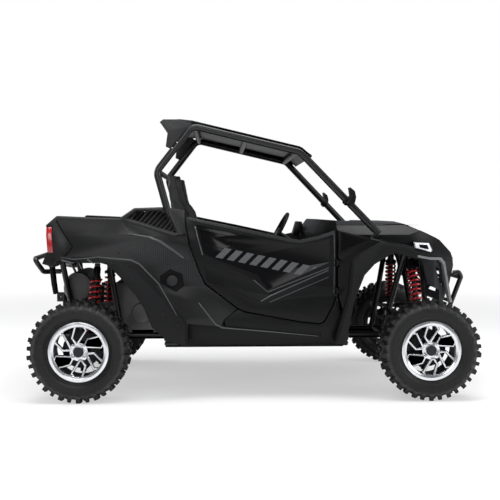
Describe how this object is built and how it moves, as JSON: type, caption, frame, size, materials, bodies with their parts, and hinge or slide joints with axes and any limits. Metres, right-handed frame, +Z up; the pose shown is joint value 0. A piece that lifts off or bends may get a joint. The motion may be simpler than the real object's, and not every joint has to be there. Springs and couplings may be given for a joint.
{
  "type": "side by side utv",
  "caption": "Open two-seat off-road utility vehicle with roll cage, roof, front-hinged doors, cargo bed and long-travel suspension.",
  "frame": {"origin": "on the ground, midway between bumpers and sides", "axes": "+X forward, +Y to the vehicle's left, +Z up"},
  "size_m": [3.0127, 1.628, 1.846],
  "materials": {
    "body_plastic": "moulded, satin black",
    "gloss_panel": "gloss black",
    "roof_plastic": "fine textured dark grey",
    "cage_paint": "satin black powder coat",
    "frame_paint": "black powder coat",
    "bright_alloy": "machined alloy with clear coat",
    "tyre_rubber": "matte black rubber",
    "spring_red": "red painted coil and black body",
    "lens_clear": "clear lens over bright reflector",
    "lens_red": "red lens",
    "seat_cover": "black padded cover",
    "cast_metal": "rough cast",
    "dark_metal": "dark steel",
    "exhaust_metal": "heat dulled steel",
    "grip_rubber": "soft grip"
  },
  "bodies": {
    "chassis": {"frame": "frame_paint", "front_tower": "frame_paint", "rear_tower": "frame_paint", "hitch_receiver": "frame_paint", "cage_posts": "frame_paint", "skid_plate": "dark_metal", "cage_left": "cage_paint", "cage_right": "cage_paint", "cage_cross": "cage_paint", "roof": "roof_plastic", "hood": "body_plastic", "fascia": "body_plastic", "headlights": "lens_clear", "front_fenders": "body_plastic", "rockers": "body_plastic", "rear_quarters": "body_plastic", "fuel_cap": "body_plastic", "cargo_bed": "body_plastic", "tail_panel": "body_plastic", "taillights": "lens_red", "dashboard": "body_plastic", "instrument_pod": "body_plastic", "cabin_tub": "body_plastic", "seat_left": "seat_cover", "seat_right": "seat_cover", "engine": "cast_metal", "muffler": "exhaust_metal", "front_bumper": "cage_paint", "rear_bumper": "cage_paint", "mirrors": "body_plastic", "front_shocks": "spring_red", "rear_shocks": "spring_red", "front_arms": "frame_paint", "rear_arms": "frame_paint", "rear_knuckles": "cast_metal", "half_shafts": "dark_metal", "front_gearcase": "cast_metal", "rack_housing": "cast_metal"},
    "left_door": {"door_left": "body_plastic"},
    "right_door": {"door_right": "body_plastic"},
    "left_knuckle": {"knuckle_left": "cast_metal"},
    "right_knuckle": {"knuckle_right": "cast_metal"},
    "hand_wheel": {"steering_wheel": "grip_rubber"},
    "rack": {"tie_rods": "dark_metal"},
    "front_left_wheel": {"tyre_front_left": "tyre_rubber", "rim_front_left": "bright_alloy"},
    "front_right_wheel": {"tyre_front_right": "tyre_rubber", "rim_front_right": "bright_alloy"},
    "rear_left_wheel": {"tyre_rear_left": "tyre_rubber", "rim_rear_left": "bright_alloy"},
    "rear_right_wheel": {"tyre_rear_right": "tyre_rubber", "rim_rear_right": "bright_alloy"}
  },
  "joints": [
    {"name": "left_door_hinge", "type": "hinge", "parent": "chassis", "child": "left_door", "pos_m": [0.54, 0.704, 0.8], "axis": [0, 0, -1], "range_deg": [0, 66]},
    {"name": "right_door_hinge", "type": "hinge", "parent": "chassis", "child": "right_door", "pos_m": [0.54, -0.704, 0.8], "axis": [0, 0, 1], "range_deg": [0, 66]},
    {"name": "left_steer", "type": "hinge", "parent": "chassis", "child": "left_knuckle", "pos_m": [1.145, 0.595, 0.33], "axis": [0, 0, 1], "range_deg": [-30, 30]},
    {"name": "right_steer", "type": "hinge", "parent": "chassis", "child": "right_knuckle", "pos_m": [1.145, -0.595, 0.33], "axis": [0, 0, 1], "range_deg": [-30.1, 30.1]},
    {"name": "rack_slide", "type": "slide", "parent": "chassis", "child": "rack", "axis": [0, 1, 0], "range_m": [-0.0505, 0.0505]},
    {"name": "steering_wheel_turn", "type": "hinge", "parent": "chassis", "child": "hand_wheel", "pos_m": [0.215, 0.36, 1.067], "axis": [-0.8829, 0, 0.4695], "range_deg": [-271, 271]},
    {"name": "front_left_spin", "type": "hinge", "parent": "left_knuckle", "child": "front_left_wheel", "pos_m": [1.145, 0.7, 0.33], "axis": [0, 1, 0], "continuous": true},
    {"name": "rear_left_spin", "type": "hinge", "parent": "chassis", "child": "rear_left_wheel", "pos_m": [-1.145, 0.68, 0.33], "axis": [0, 1, 0], "continuous": true},
    {"name": "front_right_spin", "type": "hinge", "parent": "right_knuckle", "child": "front_right_wheel", "pos_m": [1.145, -0.7, 0.33], "axis": [0, 1, 0], "continuous": true},
    {"name": "rear_right_spin", "type": "hinge", "parent": "chassis", "child": "rear_right_wheel", "pos_m": [-1.145, -0.68, 0.33], "axis": [0, 1, 0], "continuous": true}
  ],
  "couplings": [
    {"joint": "right_steer", "follows": "left_steer", "ratio": 1},
    {"joint": "rack_slide", "follows": "left_steer", "m_per_rad": -0.095493},
    {"joint": "steering_wheel_turn", "follows": "left_steer", "ratio": 9}
  ]
}
